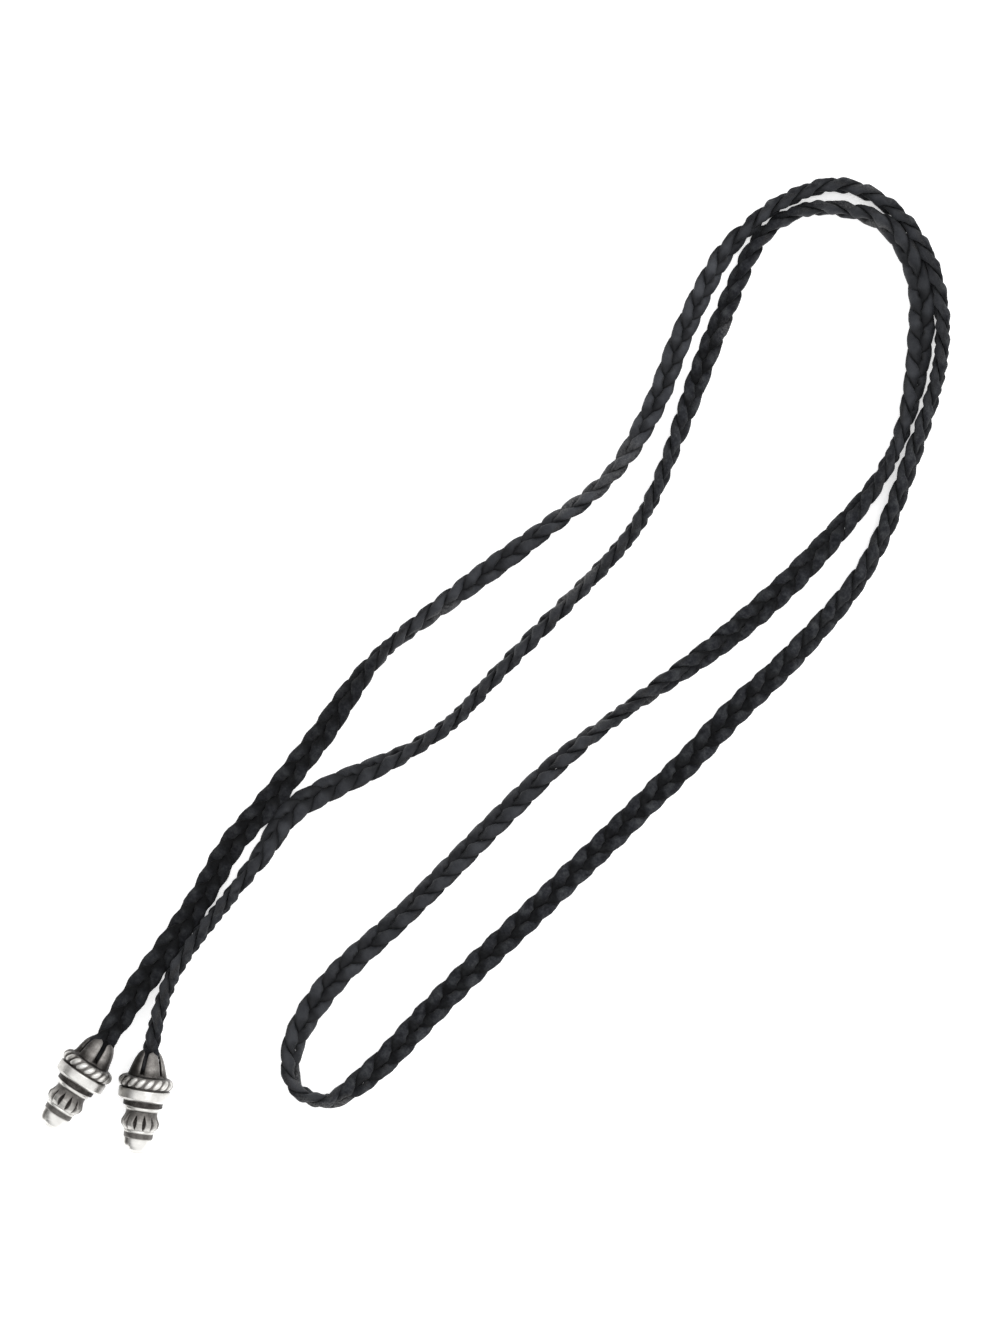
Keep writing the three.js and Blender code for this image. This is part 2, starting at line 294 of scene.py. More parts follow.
def ripple(rows, turns, row_step, turn_steps, seed):
    """A smooth random field between -1 and 1 over rows and round a ring, on which it closes."""
    knots = int(np.max(rows) / row_step) + SPARE_KNOTS
    heights = np.random.default_rng(seed).uniform(-1.0, 1.0, (knots, turn_steps))
    along = rows / row_step
    row = np.floor(along).astype(int)
    row_share = smoothstep(along - row, 0.0, 1.0)
    around = (turns % 1.0) * turn_steps
    column = np.floor(around).astype(int) % turn_steps
    column_share = smoothstep(around - np.floor(around), 0.0, 1.0)
    following = (column + 1) % turn_steps
    rest = 1.0 - column_share
    low = heights[row, column] * rest + heights[row, following] * column_share
    high = heights[row + 1, column] * rest + heights[row + 1, following] * column_share
    return low * (1.0 - row_share) + high * row_share


def unit(vectors):
    """The vectors, each made 1 long."""
    return vectors / np.linalg.norm(vectors, axis=-1, keepdims=True)


def rounded_ring(sides, power):
    """Vertices round a section that is an oval at power 2 and squarer above it.

    Gives their turns, and their places across and through from -1 to 1.
    """
    turns = (np.arange(sides) + 0.5) / sides
    cos = np.cos(2.0 * math.pi * turns)
    sin = np.sin(2.0 * math.pi * turns)
    ring_x = np.sign(cos) * np.abs(cos) ** (2.0 / power)
    ring_y = np.sign(sin) * np.abs(sin) ** (2.0 / power)
    return turns, ring_x, ring_y


def cap_axis(cap):
    """The cap's axis from mouth to dome, and its side and top directions."""
    heading = math.radians(cap["heading"])
    flat = math.cos(CAP_TILT)
    axis = Vector((flat * math.cos(heading), flat * math.sin(heading), -math.sin(CAP_TILT)))
    side = axis.cross(UP).normalized()
    return axis, side, side.cross(axis)


def mouth_and_seat(cap):
    """On the table, the points under the cap's mouth and under the end of the cord in it."""
    axis = cap_axis(cap)[0]
    mouth = np.array([cap["x"], cap["y"]])
    return mouth, mouth + SEATED_DEPTH * np.array([axis.x, axis.y])


def smooth_curve(points, steps):
    """A centripetal curve through the points, with steps places in each span."""
    before = 2 * points[0] - points[1]
    after = 2 * points[-1] - points[-2]
    p = np.vstack([before, points, after])
    u = np.linspace(0.0, 1.0, steps, endpoint=False)[:, None]
    spans = []
    for i in range(1, len(p) - 2):
        last, here, ahead, beyond = p[i - 1 : i + 3]
        d0 = np.linalg.norm(here - last) ** 0.5
        d1 = np.linalg.norm(ahead - here) ** 0.5
        d2 = np.linalg.norm(beyond - ahead) ** 0.5
        rise = ahead - here
        start = ((here - last) / d0 - (ahead - last) / (d0 + d1) + rise / d1) * d1
        end = (rise / d1 - (beyond - here) / (d1 + d2) + (beyond - ahead) / d2) * d1
        square = 3 * rise - 2 * start - end
        cube = start + end - 2 * rise
        spans.append(here + start * u + square * u**2 + cube * u**3)
    return np.vstack([*spans, points[-1:]])


class Plait:
    """Where the plait lies: its middle and its directions at any distance along it."""

    def __init__(self):
        mouth_a, seat_a = mouth_and_seat(CAP_A)
        mouth_b, seat_b = mouth_and_seat(CAP_B)
        middle = [np.array(row[:2]) for row in ROUTE]
        points = np.array([seat_a, mouth_a, *middle, mouth_b, seat_b])
        self.line = smooth_curve(points, ROUTE_STEPS)
        # A mouth and a seat have the roll of the route's row beside them
        rolls = [row[2] for row in ROUTE]
        rolls = [rolls[0]] * 2 + rolls + [rolls[-1]] * 2
        places = np.arange(len(self.line)) / ROUTE_STEPS
        self.roll = np.radians(np.interp(places, np.arange(len(rolls)), rolls))
        lengths = np.linalg.norm(np.diff(self.line, axis=0), axis=1)
        self.reach = np.concatenate([[0.0], np.cumsum(lengths)])
        self.length = self.reach[-1]

    def at(self, distance):
        """The plait at many distances along it.

        Gives its middle, its directions to the left, across and through, the distance from the
        nearer mouth, and the share of the usual width.
        """
        x = np.interp(distance, self.reach, self.line[:, 0])
        y = np.interp(distance, self.reach, self.line[:, 1])
        roll = np.interp(distance, self.reach, self.roll)
        from_mouth = np.minimum(distance, self.length - distance) - SEATED_DEPTH
        tight = np.ones(len(x))
        for start, end, share in TIGHT_STRETCHES:
            tight = tight - (1.0 - share) * within(distance, start, end, TIGHT_BLEND)
        standing = tight * PLAIT_HALF_WIDTH * np.sin(roll)
        lying = PLAIT_HALF_THICKNESS * np.cos(roll)
        resting = np.hypot(standing, lying) - PRESSED
        lifted = 1.0 - smoothstep(from_mouth, 0.0, LIFT_OFF)
        z = resting + (MOUTH_HEIGHT - resting) * lifted
        tangent = unit(np.stack([np.gradient(x), np.gradient(y)], axis=1))
        left = np.stack([-tangent[:, 1], tangent[:, 0], np.zeros(len(x))], axis=1)
        up = np.array(UP)
        cos = np.cos(roll)[:, None]
        sin = np.sin(roll)[:, None]
        across = cos * left + sin * up
        through = cos * up - sin * left
        middle = np.stack([x, y, z], axis=1)
        for start, end, shift in DRAWN_STRETCHES:
            drawn = within(distance, start, end, DRAWN_BLEND)[:, None]
            middle = middle + shift * drawn * left
        return middle, left, across, through, from_mouth, tight

    def mouth_shares(self, distance, from_mouth):
        """Shares of its width and thickness that the plait has in and near the caps' mouths."""
        near_a = distance < self.length / 2
        width = np.where(near_a, *PINCH_ACROSS)
        thickness = np.where(near_a, *PINCH_THROUGH)
        free = smoothstep(from_mouth, *PINCH_BETWEEN)
        inside = smoothstep(-from_mouth, *FILL_BETWEEN)
        width = (width + (1.0 - width) * free) * (1.0 + FILL_ACROSS * inside)
        thickness = (thickness + (1.0 - thickness) * free) * (1.0 + FILL_THROUGH * inside)
        return width, thickness


def mesh_object(name, vertices, faces, values):
    """A smooth mesh object with float values on its vertices."""
    mesh = bpy.data.meshes.new(name)
    mesh.from_pydata(vertices.tolist(), [], faces)
    for key, numbers in values.items():
        layer = mesh.attributes.new(key, "FLOAT", "POINT")
        layer.data.foreach_set("value", np.asarray(numbers, np.float32).ravel())
    mesh.shade_smooth()
    mesh.update()
    made = bpy.data.objects.new(name, mesh)
    bpy.context.scene.collection.objects.link(made)
    return made


def tube_faces(rows, sides):
    """Quads between rings of vertices, and one face across each end."""
    row = np.arange(rows - 1)[:, None] * sides
    next_row = row + sides
    here = np.arange(sides)[None, :]
    following = (here + 1) % sides
    corners = [row + here, row + following, next_row + following, next_row + here]
    faces = np.stack(corners, axis=-1).reshape(-1, 4).tolist()
    faces.append(list(range(sides))[::-1])
    faces.append(list(range((rows - 1) * sides, rows * sides)))
    return faces


def lace_shade(distance, phase, flat, suede, covered_strip, lace):
    """How light the leather is: painted shade where a lace tucks under, and beside edges that others
    cover, with the random tone of each lace and stretches that are darker or lighter.

    The painted shade is deepest where the plait lies flat, at flat 1, and weaker where it stands on
    its edge, at flat 0.
    """
    deep = (CREASE_SHADE_ON_EDGE + (1.0 - CREASE_SHADE_ON_EDGE) * flat)[:, None]
    tuck = smoothstep(np.cos(phase) ** 2, *TUCK_BETWEEN)[:, None]
    covered = smoothstep(np.cos(phase) ** 2, *COVER_BETWEEN)[:, None]
    tuck_shade = TUCK_PAINTED_SHADE + TUCK_SHADE_MORE_ON_SUEDE * suede[None, :]
    shade = (1.0 + uneven(distance, SHADE_WOBBLE, lace))[:, None]
    # Painted shade where the lace tucks under another, and beside its edges that others cover
    shade = shade * (1.0 - tuck_shade * tuck * deep)
    shade = shade * (1.0 - COVER_PAINTED_SHADE * covered * covered_strip[None, :] * deep)
    for start, end, share in TONED_STRETCHES:
        toned = within(distance, start, end, TONE_BLEND)[:, None]
        shade = shade * (1.0 + (share - 1.0) * toned)
    return shade


def lace_fuzz_and_highlight(distance, to_left):
    """How pale, from 0 to 1, a lace is at its spots of worn nap and painted highlight; to_left is
    from the plait's middle.
    """
    fuzz_and_highlight = np.zeros(to_left.shape)
    for start, end, flank, strength in FUZZ_AND_HIGHLIGHT_SPOTS:
        # Each spot is partly worn fuzz and partly painted highlight
        spot = strength * within(distance, start, end, SPOT_BLEND)[:, None]
        if flank:
            spot = spot * smoothstep(flank * to_left, *FLANK_BETWEEN)
        fuzz_and_highlight = np.maximum(fuzz_and_highlight, spot)
    return fuzz_and_highlight


def lace_ripple(rows, turns, field, lace):
    """One of the random fields of a lace's surface."""
    row_step, turn_steps, seed = field
    return ripple(rows, turns, row_step, turn_steps, seed + lace)


def lace_mesh(plait, lace):
    """One lace of the plait over its whole length."""
    count = int(round(plait.length / LAY * SECTIONS_PER_LAY))
    distance = np.linspace(0.0, plait.length, count)
    middle, left, across, through, from_mouth, tight = plait.at(distance)
    mouth_width, swell = plait.mouth_shares(distance, from_mouth)
    narrow = tight * mouth_width

    # The lace's way between the others, and the directions of its section
    drift = uneven(distance, PHASE_DRIFT) + uneven(distance, PHASE_WOBBLE, lace)
    phase = 2.0 * math.pi * (distance / LAY + lace / LACES) + drift
    swing = SWING[0] * np.sin(phase) + SWING[1] * np.sin(3 * phase)
    swing = swing * narrow * (1.0 + uneven(distance, WIDTH_DRIFT))
    over = swell * (PASS[0] * np.sin(2 * phase) + PASS[1] * np.sin(4 * phase))
    centre = middle + swing[:, None] * across + over[:, None] * through
    along = unit(np.gradient(centre, axis=0))
    lean = LEAN[0] * np.cos(phase) + LEAN[1] * np.cos(3 * phase)
    lean = lean + uneven(distance, LEAN_WOBBLE, lace)
    wide = np.cos(lean)[:, None] * across + np.sin(lean)[:, None] * through
    wide = unit(wide - np.sum(wide * along, axis=1, keepdims=True) * along)
    thick = np.cross(along, wide)

    # Its section, which changes on the way
    turns, ring_x, ring_y = rounded_ring(SIDES, SECTION_POWER)
    spread = 1.0 - SPREAD_AT_EDGE * np.cos(2 * phase) + uneven(distance, SPREAD_WOBBLE, lace)
    half_wide = LACE_WIDTH / 2 * narrow * spread
    puff = 1.0 + PUFF_AT_EDGE * np.sin(phase) ** 4 + uneven(distance, PUFF_WOBBLE, lace)
    half_thick = LACE_THICKNESS / 2 * swell * puff

    # Its surface: rough on both sides, ragged at the cut edges and pressed flat on the table
    rows = np.repeat(distance[:, None], SIDES, axis=1)
    turns = np.repeat(turns[None, :], count, axis=0)
    grain = smoothstep(ring_y, *SIDE_BETWEEN)
    suede = smoothstep(-ring_y, *SIDE_BETWEEN)
    height = GRAIN_HEIGHT + SUEDE_HEIGHT * suede
    rough = height[None, :] * lace_ripple(rows, turns, ROUGH_FIELD, lace)
    edge = np.abs(ring_x) ** EDGE_POWER
    ragged = RAGGED_HEIGHT * edge[None, :] * lace_ripple(rows, turns, RAGGED_FIELD, lace)
    out_x = ring_x[None, :] * half_wide[:, None] + np.sign(ring_x)[None, :] * ragged
    out_y = ring_y[None, :] * (half_thick[:, None] + rough)
    points = centre[:, None, :] + out_x[..., None] * wide[:, None, :]
    points = points + out_y[..., None] * thick[:, None, :]
    points[..., 2] = np.maximum(points[..., 2], 0.0)

    # What the material needs to know at each vertex, with the painted shade of the creases and the
    # painted highlight of the pale spots
    flat = 1.0 - across[:, 2] ** 2
    covered_strip = np.abs(ring_x) ** COVERED_POWER
    to_left = np.sum((points - middle[:, None, :]) * left[:, None, :], axis=2)
    values = {
        "grain": np.repeat(grain[None, :], count, axis=0),
        "edge": edge[None, :] * smoothstep(np.sin(phase) ** 2, *OPEN_BETWEEN)[:, None],
        "turn": np.repeat((np.sin(phase) ** 2)[:, None], SIDES, axis=1),
        "shade": lace_shade(distance, phase, flat, suede, covered_strip, lace),
        "fuzz_and_highlight": lace_fuzz_and_highlight(distance, to_left),
        "along": rows / MM,
        "across": np.repeat((ring_x * LACE_WIDTH / 2 / MM)[None, :], count, axis=0),
    }
    faces = tube_faces(count, SIDES)
    return mesh_object(f"lace_{lace + 1}", points.reshape(-1, 3), faces, values)


# A cap's own measures are in millimetres, and along its axis they are counted from the mouth.
# Outline of its body from the floor of its socket to the tip of its dome: along the axis, radius,
# and patina, which is 0 where the silver is polished and 1 where it is black
BODY_OUTLINE = [
    (4.05, 0.00, 1.0),
    (4.10, 1.80, 1.0),
    (4.40, 2.40, 1.0),
    (4.75, 2.75, 1.0),
    (4.75, 3.75, 0.95),
    (4.95, 4.05, 0.85),
    (5.20, 4.25, 0.85),
    (5.35, 4.60, 0.95),
    (5.45, 5.05, 0.90),
    (6.75, 5.20, 0.20),
    (8.00, 5.15, 0.75),
    (8.10, 5.20, 0.75),
    (8.20, 5.60, 0.50),
    (8.35, 5.78, 0.22),
    (9.20, 5.82, 0.14),
    (10.25, 5.80, 0.10),
    (10.45, 5.70, 0.08),
    (10.85, 5.05, 0.15),
    (10.92, 4.60, 0.60),
    (11.00, 4.42, 0.93),
    (12.10, 4.40, 0.93),
    (12.18, 4.05, 0.90),
    (12.26, 3.78, 0.40),
    (12.45, 3.84, 0.15),
    (12.80, 3.84, 0.15),
    (13.00, 3.72, 0.45),
    (13.15, 3.48, 0.80),
    (13.90, 3.52, 0.76),
    (14.60, 3.75, 0.66),
    (15.60, 4.28, 0.50),
    (16.50, 4.14, 0.40),
    (17.25, 3.55, 0.24),
    (17.45, 3.34, 0.50),
    (17.58, 3.40, 0.20),
    (17.80, 3.46, 0.12),
    (17.98, 3.38, 0.30),
    (18.08, 3.28, 0.78),
    (19.15, 3.26, 0.74),
    (19.25, 3.08, 0.50),
    (19.50, 3.08, 0.12),
    (20.40, 3.02, 0.05),
    (21.10, 2.84, 0.0),
    (21.75, 2.52, 0.05),
    (22.30, 1.98, 0.20),
    (22.65, 1.18, 0.29),
    (22.80, 0.00, 0.29),
]
BODY_STEP = 0.115
BODY_SIDES = 216
BODY_BLACKEST = 0.92  # most patina, before the painted dark reflection and the painted shade of the flank
PATINA_POWER = 0.8  # below 1 the patina changes sooner than the relief
TIP_RADIUS = 0.004  # of the first and the last ring

# The outline's corners are eased by a bell curve, whose width and reach are counted in fine steps
FINE_STEP = 0.02
EASING_WIDTH = 4.0
EASING_REACH = 12

# Twisted rope ring and its oval lobes. Pairs are round the ring and along the axis
ROPE_LOBES = 18
ROPE_MIDDLE = ROPE_ALONG / MM
ROPE_HALF_HEIGHT = 1.28
ROPE_BASE = 4.9  # least radius of the body under it
RING_RISE = 0.58
LOBE_RISE = 0.37
LOBE_SLANT = 0.34  # lobes to a millimetre
LOBE_FILL = (0.76, 0.90)  # shares of its room that a lobe fills
LOBE_POWERS = (2.4, 2.6)  # of its oval
ROPE_PATINA = 0.70  # between the lobes
LOBE_POLISH = 0.56  # what the top of a lobe takes off it
LOBE_PATINA = 0.15  # the least that is left

# Fluted crown and its drop-shaped notches
FLUTES = 12
CROWN = (13.9, 17.35)  # its start and end along the axis
NOTCH_WIDTH = 0.46  # share of its room that a notch fills where it is widest
NOTCH_LEAST = 0.01  # width below which there is none
NOTCH_SHIFT = 1.2  # above 1 the widest place is nearer the dome
NOTCH_FULLNESS = 0.8  # below 1 the drop is fuller
NOTCH_SIDES = 0.75  # below 1 its sides are steeper
NOTCH_DEPTH = 0.66
NOTCH_PATINA = 0.5  # what a notch adds

# Painted dark reflection: a streak down one flank of the dome
STREAK_TURN = 0.145  # its place, as a share of a turn from the top
STREAK_WIDTH = 0.05  # as a share of a turn
STREAK_BEGINS = (18.9, 19.4)  # along the axis, from none of it to all
STREAK_END = 1.0  # length over which it ends
STREAK_DARKNESS = 0.80

# Painted shade on one flank of claws, rope and band
SHADED_SIDE = (0.25, 0.75)  # sine of the angle from the top, from none of it to all
SIDE_SHADE_ENDS = (10.6, 10.9)  # along the axis, from all of it to none
BODY_SIDE_SHADE = 0.22  # what it adds to the body's darkness
CLAW_SIDE_SHADE = 0.32  # what it adds to a claw's

# Unevenness of the casting. A random field has a step along the axis and a number of steps round it
BODY_WAVES = 0.025
BODY_FIELD = (1.1, 14)
WAVES_BEGIN = (4.9, 5.6)  # along the axis, past the socket
CLAW_WAVES = 0.02
CLAW_FIELD = (0.9, 8)

# A claw of the socket: along the axis, outer radius and inner radius
CLAW_OUTLINE = [
    (-0.20, 1.92, 1.60),
    (0.60, 2.40, 1.80),
    (1.30, 2.78, 2.02),
    (2.20, 3.22, 2.30),
    (3.00, 3.58, 2.48),
    (4.00, 4.00, 2.60),
    (4.80, 4.32, 2.68),
    (5.30, 4.50, 2.74),
]
CLAWS = 5
SLOT_PLACES = (0.0, 5.0)  # along the axis
HALF_SLOT = (0.43, 0.47)  # half the slot between two claws at those places
CLAW_TIP = 0.75  # length of the round tip
TIP_WIDTH = 0.05  # share of the width at its very end
TIP_THICKNESS = 0.3  # share of the thickness there
CLAW_POWER = 3.6  # of its rounded section
BULGE_HEIGHT = 0.06  # on its back
BULGE_LENGTH = 6.0
CLAW_ROWS = 48
ROW_CROWDING = 1.4  # above 1 the rows lie closer near the tip
CLAW_SIDES = 36

# Patina of a claw's back
CLAW_PATINA = 0.63
FOOT_PATINA = 0.22  # what the foot adds
FOOT_BEGINS = (3.2, 5.0)  # along the axis, from none of it to all
RIM_POLISH = 0.2  # what the bright rim takes off
RIM_ENDS = (3.4, 4.6)  # along the axis, from all of it to none
RIM_POWER = 8  # makes the rim narrow

# The mouth's spread to the sides ends this far along the axis
SPREAD_ENDS = 5.0


def body_rows():
    """The body's outline as close rows, with its corners eased."""
    outline = np.array(BODY_OUTLINE)
    steps = np.linalg.norm(np.diff(outline[:, :2], axis=0), axis=1)
    reach = np.concatenate([[0.0], np.cumsum(steps)])
    fine = np.linspace(0.0, reach[-1], int(reach[-1] / FINE_STEP))
    columns = [np.interp(fine, reach, outline[:, column]) for column in range(3)]
    offsets = np.arange(-EASING_REACH, EASING_REACH + 1)
    bell = np.exp(-0.5 * (offsets / EASING_WIDTH) ** 2)
    bell = bell / bell.sum()
    padded = [np.pad(column, EASING_REACH, mode="edge") for column in columns]
    eased = [np.convolve(column, bell, mode="valid") for column in padded]
    count = int(reach[-1] / BODY_STEP)
    picked = np.linspace(0, len(fine) - 1, count).round().astype(int)
    along, radius, patina = (column[picked] for column in eased)
    radius[0] = TIP_RADIUS
    radius[-1] = TIP_RADIUS
    return along, radius, patina


def rope_relief(along, turn):
    """How far the twisted ring stands out, and how high on a lobe a place is, from 0 to 1."""
    rise = (along - ROPE_MIDDLE) / ROPE_HALF_HEIGHT
    ring = np.clip(1.0 - rise**2, 0.0, 1.0) ** 0.5
    place = turn * ROPE_LOBES - LOBE_SLANT * (along - ROPE_MIDDLE)
    from_middle = 2.0 * np.abs(place - np.floor(place) - 0.5)
    round_ring = (from_middle / LOBE_FILL[0]) ** LOBE_POWERS[0]
    along_axis = np.abs(rise / LOBE_FILL[1]) ** LOBE_POWERS[1]
    lobe = np.clip(1.0 - (round_ring + along_axis), 0.0, 1.0) ** 0.5
    return RING_RISE * ring + LOBE_RISE * lobe, lobe


def flute_relief(along, turn):
    """How deep the drop-shaped notches of the crown are, from 0 to 1."""
    place = turn * FLUTES
    from_middle = 2.0 * np.abs(place - np.floor(place) - 0.5)
    share = np.clip((along - CROWN[0]) / (CROWN[1] - CROWN[0]), 0.0, 1.0)
    width = NOTCH_WIDTH * np.sin(math.pi * share**NOTCH_SHIFT) ** NOTCH_FULLNESS
    inside = np.clip(1.0 - from_middle / np.maximum(width, NOTCH_LEAST), 0.0, 1.0)
    return np.where(width > NOTCH_LEAST, inside**NOTCH_SIDES, 0.0)


def dome_painted_reflection(along, turn, cap):
    """Darkness of the painted dark reflection, a streak that runs down one flank of the dome."""
    off = np.abs((turn - STREAK_TURN + 0.5) % 1.0 - 0.5)
    beside = np.exp(-((off / STREAK_WIDTH) ** 2))
    begun = smoothstep(along, *STREAK_BEGINS)
    ended = smoothstep(along, cap["reflection_end"] - STREAK_END, cap["reflection_end"])
    return STREAK_DARKNESS * beside * begun * (1.0 - ended)


def flank_painted_shade(along, angle):
    """How much painted shade one flank of claws, rope and band gets, from 0 to 1."""
    return smoothstep(np.sin(angle), *SHADED_SIDE) * (1.0 - smoothstep(along, *SIDE_SHADE_ENDS))


def body_rings(cap):
    """Rings of a cap's turned body: along, radius, angle and darkness of each vertex.

    The darkness is patina, with a painted dark reflection on the dome and painted shade on one
    flank.
    """
    along, radius, patina = body_rows()
    turn = np.arange(BODY_SIDES) / BODY_SIDES
    a = np.repeat(along[:, None], BODY_SIDES, axis=1)
    r = np.repeat(radius[:, None], BODY_SIDES, axis=1)
    dark = np.repeat(patina[:, None], BODY_SIDES, axis=1)
    t = np.repeat(turn[None, :], len(along), axis=0)
    theta = 2 * math.pi * t

    rope, lobe = rope_relief(a, t)
    on_rope = (np.abs(a - ROPE_MIDDLE) < ROPE_HALF_HEIGHT) & (r > ROPE_BASE)
    r = np.where(on_rope, r + rope, r)
    rope_dark = np.clip(ROPE_PATINA - LOBE_POLISH * lobe**PATINA_POWER, LOBE_PATINA, 1.0)
    dark = np.where(on_rope, rope_dark, dark)

    notch = flute_relief(a, t)
    r = r - NOTCH_DEPTH * notch
    dark = np.clip(dark + NOTCH_PATINA * notch**PATINA_POWER, 0.0, BODY_BLACKEST)

    # Painted dark reflection down one flank of the dome
    dark = np.maximum(dark, dome_painted_reflection(a, t, cap))
    # Painted shade on one flank of the body, as far as the band
    dark = dark + BODY_SIDE_SHADE * flank_painted_shade(a, theta)

    # The waves die out over the last millimetre towards the axis
    waves = smoothstep(a, *WAVES_BEGIN) * ripple(a, t, *BODY_FIELD, cap["seed"])
    r = r + BODY_WAVES * waves * np.minimum(r, 1.0)
    return a, r, theta, dark


def claw_rings(middle, seed):
    """Rings of a leaf-shaped claw, from its tip: along, radius, angle and darkness of each vertex.

    The darkness is patina, with painted shade on one flank.
    """
    outline = np.array(CLAW_OUTLINE)
    tip_at, foot_at = outline[0, 0], outline[-1, 0]
    shares = np.linspace(0.0, 1.0, CLAW_ROWS) ** ROW_CROWDING
    along = tip_at + (foot_at - tip_at) * shares
    outer = np.interp(along, outline[:, 0], outline[:, 1])
    inner = np.interp(along, outline[:, 0], outline[:, 2])
    past_tip = np.clip((along - tip_at) / CLAW_TIP, 0.0, 1.0)
    tip = np.sqrt(1.0 - (1.0 - past_tip) ** 2)
    half = math.pi * outer / CLAWS - np.interp(along, SLOT_PLACES, HALF_SLOT)
    half = half * np.maximum(tip, TIP_WIDTH)
    mid = ((outer + inner) / 2)[:, None]
    thick = ((outer - inner) / 2 * np.maximum(tip, TIP_THICKNESS))[:, None]

    turns, ring_x, ring_y = rounded_ring(CLAW_SIDES, CLAW_POWER)
    back = np.clip(ring_y, 0.0, 1.0)[None, :]
    arch = np.sin(math.pi * np.clip(along / BULGE_LENGTH, 0.0, 1.0))[:, None]
    bulge = BULGE_HEIGHT * back * (1.0 - ring_x[None, :] ** 2) * arch
    a = np.repeat(along[:, None], CLAW_SIDES, axis=1)
    turns = np.repeat(turns[None, :], CLAW_ROWS, axis=0)
    waves = CLAW_WAVES * ripple(a, turns, *CLAW_FIELD, seed)
    r = mid + thick * ring_y[None, :] + bulge + waves
    theta = middle - ring_x[None, :] * half[:, None] / outer[:, None]

    rim = np.abs(ring_x)[None, :] ** RIM_POWER * (1 - smoothstep(a, *RIM_ENDS))
    patina = CLAW_PATINA + FOOT_PATINA * smoothstep(a, *FOOT_BEGINS) - RIM_POLISH * rim
    # Painted shade on one flank of the claw
    patina = np.clip(patina + CLAW_SIDE_SHADE * flank_painted_shade(a, theta), 0.0, 1.0)
    dark = 1.0 - back**0.5 * (1.0 - patina)
    return a, r, theta, dark


def cap_points(cap, along, radius, angle):
    """Points of a cap from its own measures; the angle is from its top towards its side."""
    axis, side, top = (np.array(direction) for direction in cap_axis(cap))
    mouth = np.array([cap["x"], cap["y"], MOUTH_HEIGHT])
    wider = 1.0 + (cap["mouth_spread"] - 1.0) * (1.0 - smoothstep(along, 0.0, SPREAD_ENDS))
    out = np.cos(angle)[..., None] * top + (wider * np.sin(angle))[..., None] * side
    return mouth + MM * (along[..., None] * axis + radius[..., None] * out)


def cap_mesh(name, cap):
    """A cap: its turned body with rope ring and fluted crown, and the claws of its socket."""
    rings = [body_rings(cap)]
    for claw in range(CLAWS):
        middle = math.radians(cap["claw_turn"]) + 2 * math.pi * (claw + 0.5) / CLAWS
        rings.append(claw_rings(middle, cap["seed"] + 1 + claw))
    points = []
    darks = []
    faces = []
    start = 0
    for along, radius, angle, dark in rings:
        points.append(cap_points(cap, along, radius, angle).reshape(-1, 3))
        darks.append(dark.ravel())
        faces += [[start + corner for corner in face] for face in tube_faces(*along.shape)]
        start += along.size
    # The patina values also hold the painted dark reflection on the dome and the painted shade on
    # one flank
    return mesh_object(name, np.vstack(points), faces, {"patina": np.concatenate(darks)})


def node_of(tree, kind, place, **settings):
    """A shader node with its settings."""
    made = tree.nodes.new(kind)
    made.location = place
    for key, value in settings.items():
        setattr(made, key, value)
    return made


def new_material(name):
    """A material with only its output and its main shader."""
    material = bpy.data.materials.new(name)
    material.use_nodes = True
    tree = material.node_tree
    shader = tree.nodes["Principled BSDF"]
    return material, tree, shader


def noise(tree, place, vector, kind):
    """A noise; its kind is the features to a metre, the detail and the roughness."""
    scale, detail, roughness = kind
    made = node_of(tree, "ShaderNodeTexNoise", place)
    made.inputs["Scale"].default_value = scale
    made.inputs["Detail"].default_value = detail
    made.inputs["Roughness"].default_value = roughness
    tree.links.new(vector, made.inputs["Vector"])
    return made.outputs["Fac"]


def ramp(tree, place, factor, stops):
    """A colour ramp; each stop is a place and a colour."""
    made = node_of(tree, "ShaderNodeValToRGB", place)
    ends = made.color_ramp.elements
    while len(ends) < len(stops):
        ends.new(0.5)
    for end, (position, colour) in zip(ends, stops):
        end.position = position
        end.color = (*colour, 1.0)
    tree.links.new(factor, made.inputs["Fac"])
    return made.outputs["Color"]


def level_ramp(tree, place, factor, stops):
    """A ramp of greys; each stop is a place and a level."""
    greys = [(position, (level, level, level)) for position, level in stops]
    return ramp(tree, place, factor, greys)


def mix_colour(tree, place, factor, first, second):
    """The first colour at factor 0, the second at factor 1."""
    made = node_of(tree, "ShaderNodeMix", place, data_type="RGBA")
    tree.links.new(factor, made.inputs["Factor"])
    tree.links.new(first, made.inputs["A"])
    tree.links.new(second, made.inputs["B"])
    return made.outputs["Result"]


def multiply_colours(tree, place, first, second):
    """The product of two colours."""
    made = node_of(tree, "ShaderNodeMix", place, data_type="RGBA", blend_type="MULTIPLY")
    made.inputs["Factor"].default_value = 1.0
    tree.links.new(first, made.inputs["A"])
    tree.links.new(second, made.inputs["B"])
    return made.outputs["Result"]


def calculate(tree, place, operation, *values):
    """A maths node; each value is a socket or a number."""
    made = node_of(tree, "ShaderNodeMath", place, operation=operation)
    for socket, value in zip(made.inputs, values):
        if isinstance(value, (int, float)):
            socket.default_value = value
        else:
            tree.links.new(value, socket)
    return made.outputs["Value"]


def attribute(tree, place, name):
    """A value that a mesh has on its vertices."""
    return node_of(tree, "ShaderNodeAttribute", place, attribute_name=name).outputs["Fac"]


def bump(tree, place, size, height):
    """A bump node; its size is a strength and a depth."""
    made = node_of(tree, "ShaderNodeBump", place)
    made.inputs["Strength"].default_value = size[0]
    made.inputs["Distance"].default_value = size[1]
    tree.links.new(height, made.inputs["Height"])
    return made


